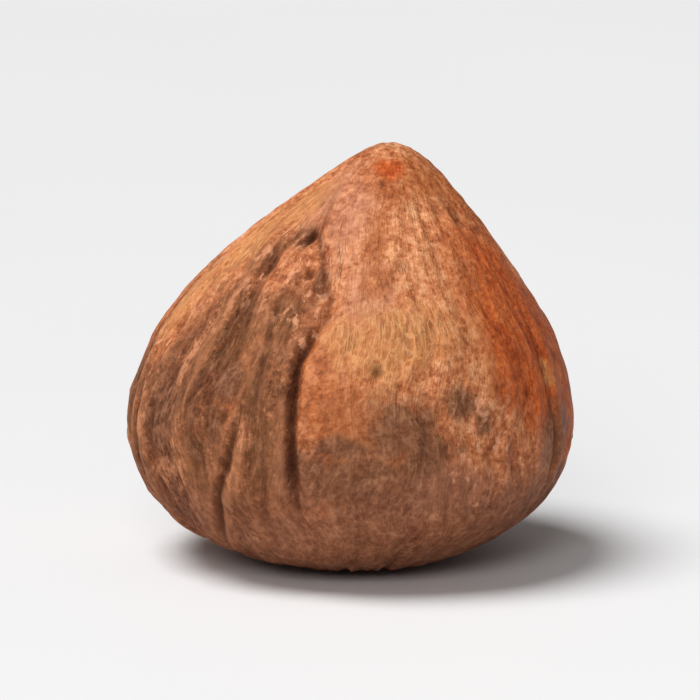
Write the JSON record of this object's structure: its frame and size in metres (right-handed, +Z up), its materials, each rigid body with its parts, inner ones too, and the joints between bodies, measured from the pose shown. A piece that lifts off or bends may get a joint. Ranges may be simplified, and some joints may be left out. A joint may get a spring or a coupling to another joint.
{
  "type": "hazelnut kernel",
  "caption": "Shelled hazelnut kernel in its thin brown skin, drop-shaped, with a furrow, raised veins and a few flaked patches, standing on its broad base.",
  "frame": {"origin": "on the surface that the kernel stands on, under the middle of its outline", "axes": "+Z up from the flat spot towards the point, -Y towards the side with the furrow, +X to the right as seen from that side"},
  "size_m": [0.015, 0.014, 0.014],
  "materials": {
    "kernel_skin": "matte, dry papery skin with a faint waxy sheen on the smooth parts"
  },
  "bodies": {
    "root": {"hazelnut_kernel": "kernel_skin"}
  },
  "joints": []
}
